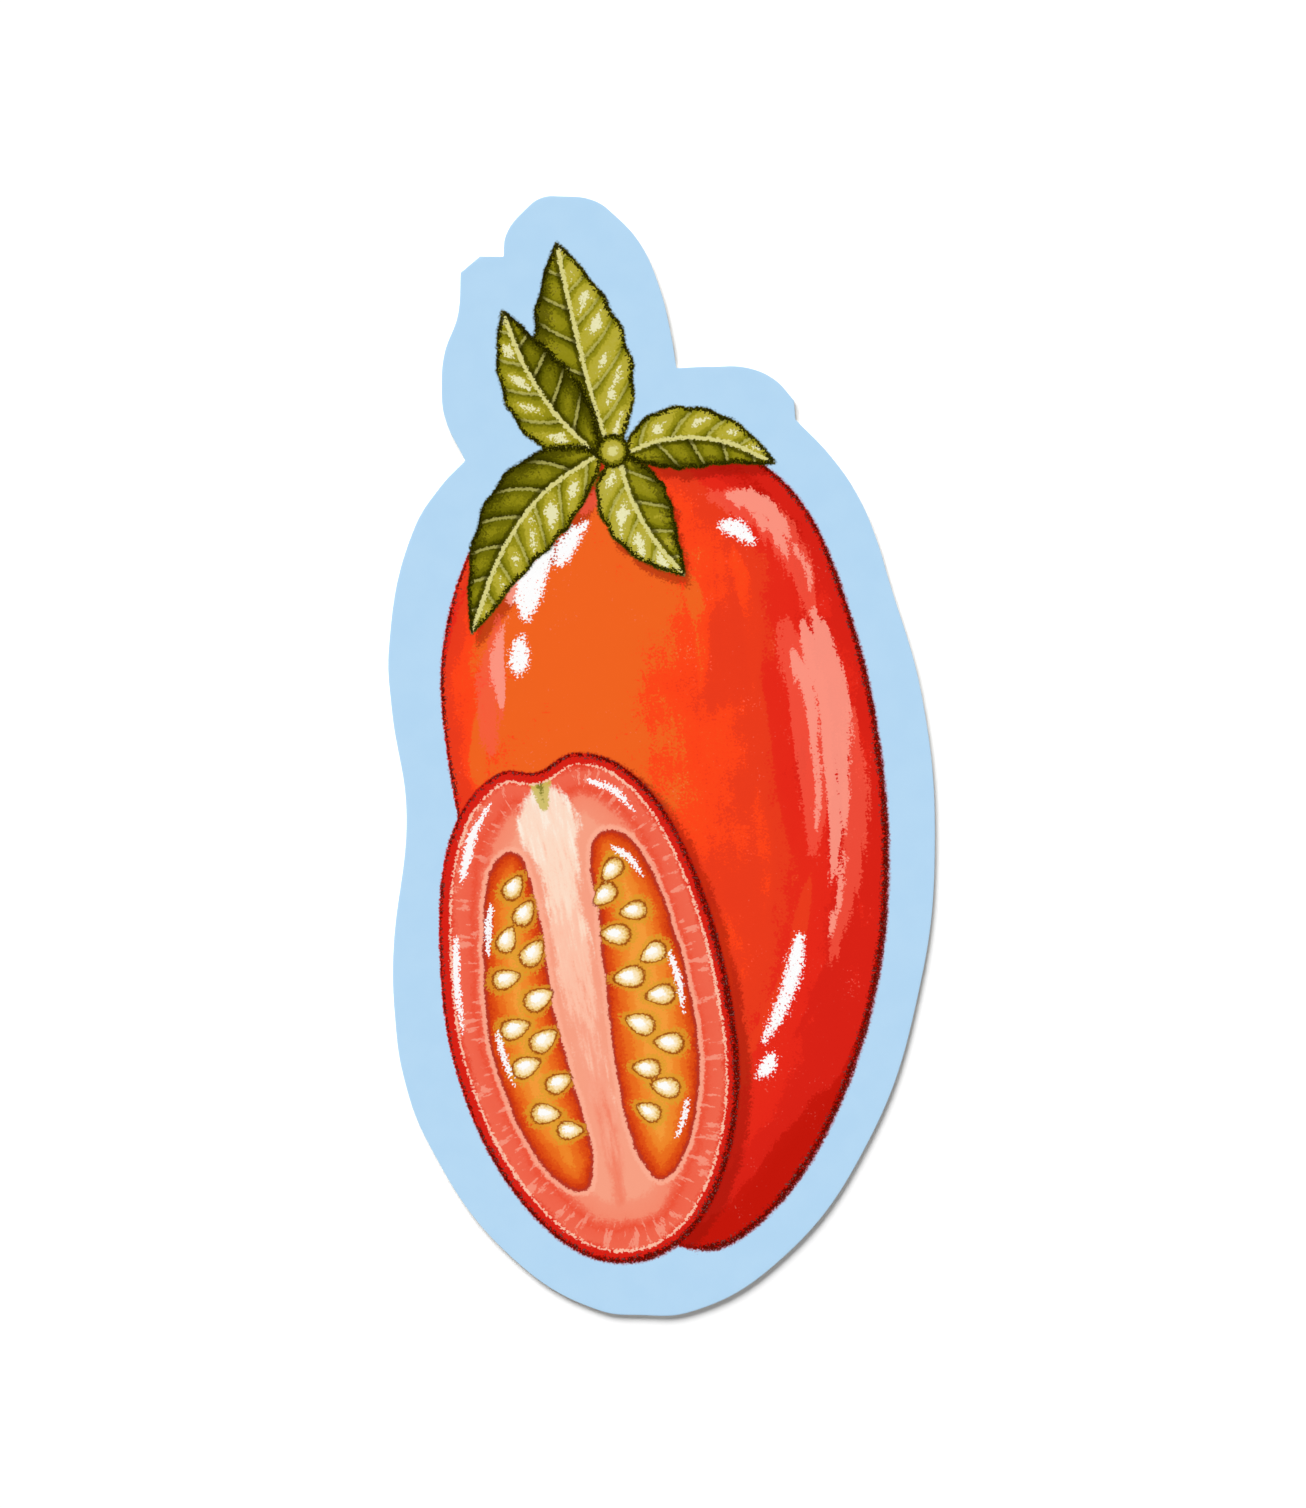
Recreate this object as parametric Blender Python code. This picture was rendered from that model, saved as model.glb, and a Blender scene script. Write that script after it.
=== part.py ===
"""Die-cut vinyl sticker lying face up: release liner, printed vinyl film and clear gloss laminate.

Metres, +Z up, +Y along the sticker's height. The origin is on the surface that the liner lies on,
under the middle of the sticker's outline.
"""

import bpy

MM = 0.001

# Sheets, from the bottom up. The knife goes through all three along one line.
LINER_THICKNESS = 0.18 * MM
VINYL_THICKNESS = 0.12 * MM
LAMINATE_THICKNESS = 0.06 * MM
SHEET_GAP = 0.03 * MM

# Segments of the curve between two points of the die line
DIE_LINE_RESOLUTION = 8

SMOOTH = "AUTO"
CORNER = "VECTOR"

# The die line clockwise from its top, in millimetres: 37.2 wide and 76.2 high.
DIE_LINE = (
    # neck
    (-6.9, 38.1, SMOOTH),
    (-4.6, 37.8, SMOOTH),
    (-3.2, 36.8, SMOOTH),
    (-1.5, 34.9, SMOOTH),
    (-0.2, 32.0, SMOOTH),
    (0.6, 28.8, SMOOTH),
    (1.0, 26.4, CORNER),
    # right shoulder
    (3.4, 26.5, SMOOTH),
    (5.9, 26.4, SMOOTH),
    (7.7, 25.6, SMOOTH),
    (9.0, 24.2, CORNER),
    (9.1, 22.9, CORNER),
    # right side
    (11.5, 20.4, SMOOTH),
    (13.4, 17.6, SMOOTH),
    (14.7, 14.5, SMOOTH),
    (15.3, 12.5, SMOOTH),
    (17.7, 4.1, SMOOTH),
    (18.6, -5.8, SMOOTH),
    (17.6, -15.6, SMOOTH),
    (14.0, -26.4, SMOOTH),
    (8.0, -34.4, SMOOTH),
    # bottom
    (1.9, -37.9, SMOOTH),
    (-1.5, -38.1, SMOOTH),
    (-4.2, -37.8, SMOOTH),
    # left side, with a shallow waist
    (-10.3, -34.1, SMOOTH),
    (-15.9, -26.4, SMOOTH),
    (-17.6, -21.8, SMOOTH),
    (-18.2, -17.5, SMOOTH),
    (-18.3, -13.6, SMOOTH),
    (-17.4, -3.8, SMOOTH),
    (-18.4, 3.2, SMOOTH),
    (-18.6, 7.2, SMOOTH),
    (-16.9, 15.4, SMOOTH),
    (-15.1, 18.3, SMOOTH),
    (-13.4, 20.1, CORNER),
    # left step
    (-14.8, 23.1, SMOOTH),
    (-15.0, 25.1, SMOOTH),
    (-14.8, 27.4, SMOOTH),
    (-13.9, 30.0, SMOOTH),
    (-13.7, 32.9, CORNER),
    (-12.4, 34.0, CORNER),
    (-10.8, 34.0, CORNER),
    (-10.6, 35.5, SMOOTH),
    (-9.3, 37.2, SMOOTH),
    (-8.2, 38.0, SMOOTH),
)


def clear_scene():
    for obj in list(bpy.data.objects):
        bpy.data.objects.remove(obj)


def material(name, color, roughness, alpha=1.0):
    made = bpy.data.materials.new(name)
    made.use_nodes = True
    shader = made.node_tree.nodes["Principled BSDF"]
    shader.inputs["Base Color"].default_value = (*color, 1.0)
    shader.inputs["Roughness"].default_value = roughness
    shader.inputs["Metallic"].default_value = 0.0
    shader.inputs["Alpha"].default_value = alpha
    made.diffuse_color = (*color, alpha)
    return made


def die_line_curve(name):
    """The die line as a closed flat curve whose inside is filled."""
    curve = bpy.data.curves.new(name, "CURVE")
    curve.dimensions = "2D"
    curve.fill_mode = "BOTH"
    curve.resolution_u = DIE_LINE_RESOLUTION
    spline = curve.splines.new("BEZIER")
    spline.bezier_points.add(len(DIE_LINE) - 1)
    spline.use_cyclic_u = True
    for point, (x, y, handle) in zip(spline.bezier_points, DIE_LINE):
        point.co = (x * MM, y * MM, 0.0)
        point.handle_left_type = handle
        point.handle_right_type = handle
    return curve


def sheet(name, underside, thickness, finish):
    """One cut sheet, with its underside at that height."""
    curve = die_line_curve(name)
    curve.extrude = thickness / 2
    curve.materials.append(finish)
    obj = bpy.data.objects.new(name, curve)
    obj.location.z = underside + thickness / 2
    bpy.context.scene.collection.objects.link(obj)
    return obj


def build():
    clear_scene()
    paper = material("liner_paper", (0.93, 0.91, 0.86), 0.6)
    printed = material("printed_vinyl", (0.46, 0.70, 0.92), 0.35)
    clear = material("clear_laminate", (0.95, 0.97, 1.0), 0.08, alpha=0.2)

    vinyl_underside = LINER_THICKNESS + SHEET_GAP
    laminate_underside = vinyl_underside + VINYL_THICKNESS + SHEET_GAP
    sheet("release_liner", 0.0, LINER_THICKNESS, paper)
    sheet("vinyl_film", vinyl_underside, VINYL_THICKNESS, printed)
    sheet("gloss_laminate", laminate_underside, LAMINATE_THICKNESS, clear)


build()
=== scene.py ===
"""Die-cut vinyl sticker lying face up on a white table, seen from straight above.

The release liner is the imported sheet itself. The vinyl film and its gloss laminate are one finely
meshed piece, cut along the same die line. Its print is painted by the material: each shape of the
print is a field of distances on the mesh, which the material inks with a chalky edge.
Print and outline are drawn in millimetres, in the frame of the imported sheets.
"""

import math

import bpy
import numpy as np
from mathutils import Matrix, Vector
from mathutils.geometry import delaunay_2d_cdt


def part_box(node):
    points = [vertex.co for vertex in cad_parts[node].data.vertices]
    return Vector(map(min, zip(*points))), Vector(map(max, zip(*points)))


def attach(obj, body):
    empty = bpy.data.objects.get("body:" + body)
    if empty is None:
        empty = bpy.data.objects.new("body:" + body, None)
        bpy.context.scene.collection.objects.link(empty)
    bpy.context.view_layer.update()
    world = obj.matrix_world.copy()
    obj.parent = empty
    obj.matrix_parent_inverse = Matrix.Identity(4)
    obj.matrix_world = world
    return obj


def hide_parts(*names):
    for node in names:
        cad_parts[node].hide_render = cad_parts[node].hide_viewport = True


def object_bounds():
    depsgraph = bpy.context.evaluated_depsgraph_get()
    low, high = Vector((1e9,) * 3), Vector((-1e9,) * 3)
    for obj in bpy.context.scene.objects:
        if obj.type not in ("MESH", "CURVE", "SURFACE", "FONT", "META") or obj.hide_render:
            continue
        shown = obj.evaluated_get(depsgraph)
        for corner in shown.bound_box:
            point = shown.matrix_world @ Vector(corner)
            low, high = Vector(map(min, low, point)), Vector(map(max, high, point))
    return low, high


MM = 0.001

# Inks
GROUND = "B5D9F5"
PALE_GROUND = "B8DBF6"
DEEP_RED = "C4170B"
CRIMSON = "D92216"
RED = "E72819"
ORANGE_RED = "EA3B1D"
VERMILION = "FF431A"
ORANGE = "F26421"
PEN_RED = "A80E04"
DARK_MAROON = "4E0902"
SPECK_PINK = "B5746C"
SHADE_RED = "9C1409"
RIM_RED = "B2240C"
SALMON = "FF9C88"
CORAL = "FA5C46"
BLUSH = "FFC9AE"
FIBRE_PINK = "FFB79E"
LIP_PINK = "FFB296"
CREAM = "FCE3B4"
SEED_GEL = "D9A02C"
SEED_OUTLINE = "8C2F08"
WHITE = "FFFFFF"
BLACK_OLIVE = "1D1B00"
DARK_OLIVE = "2F2D00"
OLIVE = "4C4A02"
MID_OLIVE = "6E6A0A"
LEAF_GREEN = "8E8714"
LIGHT_OLIVE = "B5A930"
PALE_OLIVE = "DDD68A"
VEIN_OLIVE = "C9C26A"
SCAR_OLIVE = "CDBB58"
GLINT_OLIVE = "F3F0C4"

# Inks of a chalk line: its width, its core, and the specks in the core
RED_PEN = (PEN_RED, DARK_MAROON, SPECK_PINK)
GREEN_PEN = (DARK_OLIVE, BLACK_OLIVE, MID_OLIVE)


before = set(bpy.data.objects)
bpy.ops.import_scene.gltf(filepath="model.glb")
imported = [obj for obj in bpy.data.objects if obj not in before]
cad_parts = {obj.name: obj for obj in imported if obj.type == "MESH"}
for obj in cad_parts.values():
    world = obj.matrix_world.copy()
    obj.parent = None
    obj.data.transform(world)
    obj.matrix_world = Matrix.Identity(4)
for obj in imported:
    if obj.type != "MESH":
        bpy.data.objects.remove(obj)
cad_low, cad_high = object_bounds()


# Curves and distances

def closed_curve(knots, steps=8):
    """Points of the smooth closed curve through the knots."""
    knots = np.array(knots, float)
    before = np.roll(knots, 1, axis=0)
    after = np.roll(knots, -1, axis=0)
    later = np.roll(knots, -2, axis=0)
    share = (np.arange(steps) / steps)[:, None, None]
    curve = (
        2 * knots
        + (after - before) * share
        + (2 * before - 5 * knots + 4 * after - later) * share**2
        + (3 * knots - before - 3 * after + later) * share**3
    ) / 2
    return curve.transpose(1, 0, 2).reshape(-1, 2)


def open_curve(knots, steps=8):
    """Points of the smooth curve from the first knot to the last."""
    knots = np.array(knots, float)
    first = 2 * knots[0] - knots[1]
    last = 2 * knots[-1] - knots[-2]
    around = closed_curve([first, *knots, last], steps)
    return around[steps : steps * len(knots) + 1]


def placed(knots, centre, turn):
    """Knots drawn round their own middle, turned anticlockwise by degrees and put at the centre."""
    angle = math.radians(turn)
    across = np.array((math.cos(angle), math.sin(angle)))
    along = np.array((-math.sin(angle), math.cos(angle)))
    knots = np.array(knots, float)
    return knots[:, :1] * across + knots[:, 1:] * along + np.array(centre, float)


def unplaced(points, centre, turn):
    """The points in the axes that placed() starts from."""
    return placed(points - np.array(centre, float), (0, 0), -turn)


def inside_distance(points, outline):
    """Distance from the closed outline, positive inside it."""
    nearest = np.full(len(points), np.inf)
    inside = np.zeros(len(points), bool)
    for start, end in zip(outline, np.roll(outline, -1, axis=0)):
        run = end - start
        away = points - start
        share = np.clip(away @ run / max(run @ run, 1e-12), 0, 1)
        gap = away - share[:, None] * run
        nearest = np.minimum(nearest, (gap**2).sum(axis=1))
        crosses = (start[1] > points[:, 1]) != (end[1] > points[:, 1])
        if run[1]:
            inside ^= crosses & (away[:, 0] < run[0] * away[:, 1] / run[1])
    return np.where(inside, 1, -1) * np.sqrt(nearest)


def along_path(points, path):
    """Each point's signed distance from the path, positive to the left, and its share of the way."""
    lengths = np.hypot(*np.diff(path, axis=0).T)
    total = lengths.sum()
    nearest = np.full(len(points), np.inf)
    side = np.zeros(len(points))
    way = np.zeros(len(points))
    done = 0.0
    for start, end, length in zip(path, path[1:], lengths):
        run = (end - start) / length
        away = points - start
        step = np.clip(away @ run, 0, length)
        gap = away - step[:, None] * run
        distance = np.hypot(*gap.T)
        closer = distance < nearest
        nearest = np.where(closer, distance, nearest)
        side = np.where(closer, np.sign(run[0] * away[:, 1] - run[1] * away[:, 0]), side)
        way = np.where(closer, (done + step) / total, way)
        done += length
    return nearest * side, way


def stroke(points, knots, width):
    """Depth inside one brush stroke, which is widest a third of the way along."""
    away, way = along_path(points, open_curve(knots))
    swell = np.sin(np.pi * np.clip(way, 0.02, 0.98) ** 0.7) ** 0.6
    return width / 2 * swell - np.abs(away)


def strokes(points, drawn):
    """Depth inside whichever of the strokes a point is deepest in."""
    return np.max([stroke(points, knots, width) for knots, width in drawn], axis=0)


# The print's shapes

# The whole plum tomato, round its own middle, and its reach from there upwards
TOMATO = (
    (0.2, 26.1), (4.0, 26.4), (7.9, 24.9), (10.9, 21.2), (12.9, 15.0), (14.2, 7.4), (14.4, -1.5),
    (13.1, -10.2), (10.1, -18.2), (6.0, -24.4), (1.0, -28.0), (-3.6, -26.8), (-7.6, -22.2),
    (-10.9, -15.8), (-13.2, -8.0), (-14.4, 0.5), (-15.1, 8.0), (-14.9, 13.4), (-13.3, 18.8),
    (-10.7, 22.9), (-6.9, 25.6), (-3.0, 26.1),
)
TOMATO_CENTRE, TOMATO_TURN = (0.9, -5.6), 4.5
TOMATO_REACH = 27.0

# Usual half width of the chalk line round either tomato
FRUIT_PEN = 0.17

# The half tomato in front of it, round its own middle, its reach, and its fibres all the way round
HALF = (
    (0.0, 16.4), (2.6, 17.2), (5.6, 15.8), (8.0, 12.0), (9.4, 6.2), (9.8, -0.5), (9.2, -7.0),
    (7.2, -12.4), (4.2, -16.2), (0.6, -17.6), (-3.2, -16.6), (-6.4, -13.0), (-8.7, -7.4),
    (-9.6, -0.6), (-8.9, 6.2), (-7.5, 11.6), (-5.2, 15.3), (-2.4, 16.9),
)
LEFT_CHAMBER = (
    (-2.3, 10.9), (-3.9, 11.0), (-5.2, 8.4), (-6.2, 3.8), (-6.7, -1.2), (-6.1, -6.6), (-4.3, -10.9),
    (-2.3, -12.0), (-1.6, -9.0), (-2.0, -4.0), (-2.2, 1.0), (-1.9, 6.5),
)
RIGHT_CHAMBER = (
    (2.6, 10.6), (4.4, 11.4), (6.0, 9.0), (6.9, 4.0), (7.1, -1.4), (6.5, -6.4), (4.8, -10.6),
    (2.8, -12.4), (1.5, -10.0), (1.3, -5.0), (1.7, 0.5), (2.2, 6.0),
)
CORE = (
    (0.0, 15.4), (1.9, 13.4), (1.4, 9.5), (1.0, 3.0), (0.6, -4.0), (0.5, -9.0), (0.2, -13.2),
    (-0.6, -13.3), (-0.8, -8.5), (-1.1, -3.0), (-1.3, 3.5), (-1.3, 9.5), (-1.9, 13.2),
)
STEM_SCAR = (
    (-1.3, 16.9), (-0.6, 15.3), (-0.3, 13.9), (0.2, 13.8), (0.6, 15.3), (1.4, 17.1), (0.0, 16.4),
)
HALF_CENTRE, HALF_TURN = (-5.2, -17.2), 11.5
HALF_REACH = 17
HALF_SHADE_SHIFT = np.array((0.9, -0.5))
FIBRES = 150

# Seeds, in rows from the top of a chamber down, by turns in its outer and its inner column. The
# columns are measured from the core's edge, and meet there at their reach from the middle.
SEED_ROWS = 13
TOP_SEED, SEED_SPACING = 8.9, 1.52
SEED_COLUMNS, COLUMNS_REACH = (3.05, 1.15), 11.5
CORE_EDGE, CORE_SHIFT = 2.1, 0.12
SEED_LENGTH, SEED_WIDTH, SEED_TAPER = 1.9, 1.25, 0.32
SEED_TURN, SEED_TURN_SPREAD = 78, 24
SEED_SPREAD = 0.22
CLOSEST_SEEDS = 1.75

# The light on a seed: its size as shares of the seed's, and its shift from the middle
SEED_LIGHT_LENGTH, SEED_LIGHT_WIDTH = 0.5, 0.42
SEED_LIGHT_SHIFT = np.array((-0.12, 0.12))

# Leaves from the back one to the front one: midrib, greatest width, lightness, and 1 where the half
# to the left of the way to the tip is the lit one
LEAVES = (
    (((-3.5, 20.4), (-5.0, 25.4), (-6.2, 30.4), (-7.2, 35.0)), 7.3, 0.42, -1),
    (((-4.4, 20.4), (-7.2, 23.2), (-9.4, 26.6), (-10.9, 30.4)), 5.6, 0.30, 1),
    (((-4.2, 20.6), (-8.1, 17.8), (-10.9, 13.8), (-13.0, 8.2)), 6.3, 0.36, 1),
    (((-2.6, 20.6), (0.6, 21.6), (4.2, 21.4), (7.8, 19.9)), 4.8, 0.40, 1),
    (((-3.0, 20.6), (-2.2, 17.8), (-0.6, 14.8), (1.6, 12.2)), 5.4, 0.48, -1),
)
LEAF_STEPS = 12
LEAF_PEN = 0.15
LEAST_HALF_WIDTH = 0.15
LEAF_SHADE_SHIFT = np.array((0.45, -0.75))

# A leaf's wavy edge: the radians of its wave from stalk to tip, and the wave's share of the width
WAVE_ANGLE, WAVE_DEPTH = 38, 0.016

# How many leaves lie behind the tomato, and how far each goes on under what is in front of it
LEAVES_BEHIND = 2
LEAF_SEAM = 0.12

# A leaf's veins: the way from one to the next, and how they lean and bend towards the tip
VEIN_SPACING = 2.3
VEIN_SLANT, VEIN_BEND = 0.55, 0.11

# The middle of the cut stem that the leaves grow from
STUB, STUB_RADIUS = (-3.35, 20.75), 1.15

# Brush strokes: the knots of each one's curve, and its greatest width
TOMATO_GLOSS = (
    (((-9.3, 9.6), (-8.8, 12.2), (-7.4, 14.9)), 1.7),
    (((-9.9, 5.6), (-9.7, 7.0), (-9.5, 8.0)), 1.1),
    (((-7.0, 13.2), (-6.3, 14.6), (-5.2, 15.8)), 1.0),
    (((9.4, -12.4), (8.6, -16.0), (7.0, -19.4)), 0.9),
    (((7.5, -20.5), (7.1, -21.2), (6.6, -21.8)), 0.8),
    (((4.2, 15.7), (5.2, 15.4), (6.2, 14.6)), 0.9),
)
TOMATO_SHEEN = (
    (((10.3, 9.8), (11.6, 5.6), (12.3, 0.6), (12.3, -5.4)), 1.4),
    (((9.6, 9.0), (10.9, 5.0), (11.5, 0.6), (11.4, -3.6)), 1.5),
    (((9.0, 7.0), (10.1, 3.8), (10.5, 0.2)), 1.1),
    (((11.6, -0.8), (11.8, -4.8), (11.5, -8.8)), 0.9),
    (((10.3, 1.4), (10.7, -1.6), (10.5, -5.0)), 0.5),
    (((12.4, -6.4), (12.1, -9.6), (11.4, -12.4)), 0.4),
    (((4.6, 17.7), (6.8, 17.1), (8.7, 14.9)), 1.3),
    (((6.2, 16.6), (7.9, 15.0), (8.6, 13.2)), 0.8),
    (((9.0, 14.4), (9.8, 12.8), (10.1, 11.2)), 0.4),
    (((-11.0, 3.4), (-11.2, 6.4), (-10.6, 9.4)), 0.9),
    (((-10.3, 10.6), (-9.4, 13.4), (-7.9, 15.8)), 1.3),
)
TOMATO_GLOW = (
    (((8.4, 8.8), (9.9, 4.0), (10.5, -1.6), (10.2, -6.6)), 2.9),
    (((12.7, 3.0), (13.2, -2.6), (12.7, -9.0), (11.4, -14.4)), 1.7),
    (((3.6, 17.7), (7.0, 16.4), (9.4, 12.6), (10.2, 9.0)), 2.2),
    (((-11.7, 0.4), (-11.6, 4.8), (-10.9, 9.4)), 1.7),
    (((-5.6, 16.6), (-3.8, 17.9), (-1.8, 18.4)), 1.2),
)

# Strokes that only make the skin under them lighter or darker, by the amount that comes last. They do
# so in full at this depth.
STROKE_EDGE = 0.35
TOMATO_STROKES = (
    (((7.4, 6.0), (8.8, 0.0), (8.9, -6.6)), 2.6, -0.10),
    (((4.8, 14.4), (6.1, 9.4), (6.3, 3.6)), 1.6, 0.09),
    (((10.2, -8.0), (8.6, -15.0), (5.2, -21.4)), 1.4, 0.15),
    (((12.6, -8.6), (11.4, -14.6), (8.2, -20.6)), 1.1, -0.08),
    (((6.4, -2.0), (7.1, -7.0), (6.9, -12.0)), 1.5, 0.08),
    (((1.8, 12.6), (2.8, 8.4), (2.6, 4.2)), 1.5, 0.07),
    (((-12.4, 2.8), (-12.6, -1.2), (-12.0, -4.8)), 1.3, 0.10),
)
HALF_GLOSS = (
    (((-4.9, 8.2), (-5.4, 6.6), (-5.8, 4.8)), 0.42),
    (((-6.2, -0.4), (-6.1, -2.4), (-5.8, -4.2)), 0.4),
    (((4.0, 10.4), (5.0, 9.4), (5.6, 8.0)), 0.45),
    (((6.4, 2.6), (6.6, 0.4), (6.5, -1.6)), 0.42),
    (((5.6, -7.4), (5.0, -8.8), (4.3, -9.9)), 0.36),
    (((-7.7, 6.4), (-8.3, 3.2), (-8.5, 0.0)), 0.5),
    (((-6.5, 10.2), (-5.2, 13.0), (-3.6, 14.9)), 0.6),
    (((3.2, 15.2), (4.8, 14.2), (6.0, 12.4)), 0.45),
)


def across_share(points, outline):
    """How far across the outline each point is at its own height, from -1 at the left to 1."""
    margin = 0.05
    heights = np.linspace(outline[:, 1].min() + margin, outline[:, 1].max() - margin, 41)
    following = np.roll(outline, -1, axis=0)
    left, right = [], []
    for height in heights:
        crossing = (outline[:, 1] <= height) != (following[:, 1] <= height)
        start, end = outline[crossing], following[crossing]
        share = (height - start[:, 1]) / (end[:, 1] - start[:, 1])
        found = start[:, 0] + share * (end[:, 0] - start[:, 0])
        left.append(found.min())
        right.append(found.max())
    low = np.interp(points[:, 1], heights, left)
    high = np.interp(points[:, 1], heights, right)
    return (2 * points[:, 0] - low - high) / (high - low)


def drop_distance(points, centre, turn, length, width):
    """Depth inside a seed, which is narrower towards its tip."""
    local = unplaced(points, centre, turn)
    along = local[:, 1] / (length / 2)
    across = local[:, 0] / (width / 2 * (1 - SEED_TAPER * np.clip(along, -1, 1)))
    return (1 - np.hypot(along, across)) * width / 2


def seed_places():
    """Centre, turn and size of each seed, in two staggered columns down either chamber."""
    chance = np.random.default_rng(5)
    places = []
    for side in (-1, 1):
        for row in range(SEED_ROWS):
            height = TOP_SEED - SEED_SPACING * row
            taper = math.cos(height / COLUMNS_REACH * math.pi / 2)
            column = SEED_COLUMNS[row % 2]
            across = side * (CORE_EDGE + column * taper**0.8 + CORE_SHIFT * side)
            jitter = chance.uniform(-SEED_SPREAD, SEED_SPREAD, 2)
            lean = chance.uniform(-SEED_TURN_SPREAD, SEED_TURN_SPREAD)
            turn = side * (SEED_TURN + lean) + 4 * height
            size = 1.02 - 0.16 * abs(height) / 11 + 0.05 * math.sin(9 * row)
            centre = (across + jitter[0], height + jitter[1])
            if all(math.dist(centre, other) > CLOSEST_SEEDS for other, _, _ in places):
                places.append((centre, turn, size))
    return places


def leaf_outline(midrib, width):
    """The path of a leaf's midrib, the half width at each point of it, and the leaf's outline."""
    path = open_curve(midrib, LEAF_STEPS)
    way = np.linspace(0, 1, len(path))
    half = width / 2 * np.sin(np.pi * way**0.86) ** 0.82 * (1 - 0.25 * way)
    half += WAVE_DEPTH * width * np.sin(way * WAVE_ANGLE) * np.sin(np.pi * way)
    run = np.gradient(path, axis=0)
    run /= np.hypot(*run.T)[:, None]
    left = np.column_stack((-run[:, 1], run[:, 0]))
    outline = np.vstack((path + left * half[:, None], (path - left * half[:, None])[::-1]))
    return path, half, outline


def leaf_place(points, path, half, lit):
    """Distance from the midrib towards the lit side, its share of the half width, and vein count."""
    away, share = along_path(points, path)
    reach = np.maximum(np.interp(share, np.linspace(0, 1, len(path)), half), LEAST_HALF_WIDTH)
    length = np.hypot(*np.diff(path, axis=0).T).sum()
    veins = (share * length - VEIN_SLANT * np.abs(away) - VEIN_BEND * away**2) / VEIN_SPACING
    veins += 0.5 * (away > 0)
    return np.column_stack((lit * away, lit * away / reach, veins))


def leaf_fields(points, tomato):
    """The leaves as one layer, each cut off by the leaves in front of it, or by the tomato too."""
    depth = shade = cover = np.full(len(points), -np.inf)
    place = np.zeros((len(points), 3))
    tone = np.zeros(len(points))
    for number in reversed(range(len(LEAVES))):
        midrib, width, lightness, lit = LEAVES[number]
        path, half, outline = leaf_outline(midrib, width)
        leaf = inside_distance(points, outline)
        if number < LEAVES_BEHIND:
            cover = np.maximum(cover, tomato)
        else:
            shade = np.maximum(shade, inside_distance(points - LEAF_SHADE_SHIFT, outline))
        seen = np.minimum(leaf, LEAF_SEAM - cover)
        foremost = seen > depth
        depth = np.where(foremost, seen, depth)
        place = np.where(foremost[:, None], leaf_place(points, path, half, lit), place)
        tone = np.where(foremost, lightness, tone)
        cover = np.maximum(cover, leaf)
    return {"leaves": depth, "leaf_place": place, "leaf_tone": tone, "leaf_shade": shade}


def tomato_fields(points):
    """The whole tomato: depth inside it, light, width of its pen, and its strokes.

    Light comes from the upper left, is full where the skin faces up, and returns at the right rim.
    """
    outline = closed_curve(TOMATO)
    local = unplaced(points, TOMATO_CENTRE, TOMATO_TURN)
    across = np.clip(across_share(local, outline), -1, 1)
    along = np.clip(local[:, 1] / TOMATO_REACH, -1, 1)
    upward = np.sign(along) * np.abs(along) ** 2.4
    outward = np.sqrt(np.clip(1 - across**2 - upward**2, 0, 1))
    light = 0.23 - 0.31 * across + 0.28 * upward + 0.65 * outward
    light += 0.23 * np.clip((across - 0.80) / 0.14, 0, 1)
    for knots, width, lift in TOMATO_STROKES:
        light += lift * np.clip(stroke(points, knots, width) / STROKE_EDGE, 0, 1)
    return {
        "tomato": inside_distance(local, outline),
        "tomato_light": light,
        "tomato_pen": FRUIT_PEN + 0.12 * np.clip(0.7 * across - 0.6 * along, -0.5, 1),
        "tomato_gloss": strokes(points, TOMATO_GLOSS),
        "tomato_sheen": strokes(points, TOMATO_SHEEN),
        "tomato_glow": strokes(points, TOMATO_GLOW),
    }


def half_fields(points):
    """The half tomato: depth inside it and its parts, its shade, and the width of its pen."""
    outline = closed_curve(HALF)
    in_place = placed(outline, HALF_CENTRE, HALF_TURN)
    local = unplaced(points, HALF_CENTRE, HALF_TURN)
    lit_local = local - SEED_LIGHT_SHIFT
    chambers = [closed_curve(LEFT_CHAMBER), closed_curve(RIGHT_CHAMBER)]
    seeds, seed_lights = [], []
    for centre, turn, size in seed_places():
        length, width = size * SEED_LENGTH, size * SEED_WIDTH
        seeds.append(drop_distance(local, centre, turn, length, width))
        length, width = SEED_LIGHT_LENGTH * length, SEED_LIGHT_WIDTH * width
        seed_lights.append(drop_distance(lit_local, centre, turn, length, width))
    return {
        "half": inside_distance(local, outline),
        "half_shade": inside_distance(points - HALF_SHADE_SHIFT, in_place),
        "half_pen": FRUIT_PEN + 0.08 * np.clip(local[:, 0] / 9 - local[:, 1] / 26, -1, 1),
        "fibres": FIBRES * along_path(local, np.vstack((outline, outline[:1])))[1],
        "chambers": np.max([inside_distance(local, chamber) for chamber in chambers], axis=0),
        "core": inside_distance(local, closed_curve(CORE)),
        "core_height": 0.45 + 0.5 * local[:, 1] / HALF_REACH,
        "stem_scar": inside_distance(local, closed_curve(STEM_SCAR)),
        "seeds": np.max(seeds, axis=0),
        "seed_lights": np.max(seed_lights, axis=0),
        "half_gloss": strokes(local, HALF_GLOSS),
    }


def print_fields(points):
    """Each shape of the print as a field over the points, in millimetres where it is a depth."""
    tomato = tomato_fields(points)
    stub = STUB_RADIUS - np.hypot(*(points - np.array(STUB)).T)
    return {**tomato, **half_fields(points), **leaf_fields(points, tomato["tomato"]), "stub": stub}


# The printed face

# How far above the liner it starts
LINER_GAP = 0.002

# The upper edge is rounded, with a loop of points at each of these degrees from the upright cut, and
# the face is pressed down beside it
EDGE_ROUNDING = 0.015
ROUNDING_ANGLES = (0, 30, 60)
EDGE_PRESS, EDGE_PRESS_REACH = 0.003, 0.12

# The unevenness of the laminate
RIPPLE = 0.0009

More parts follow.
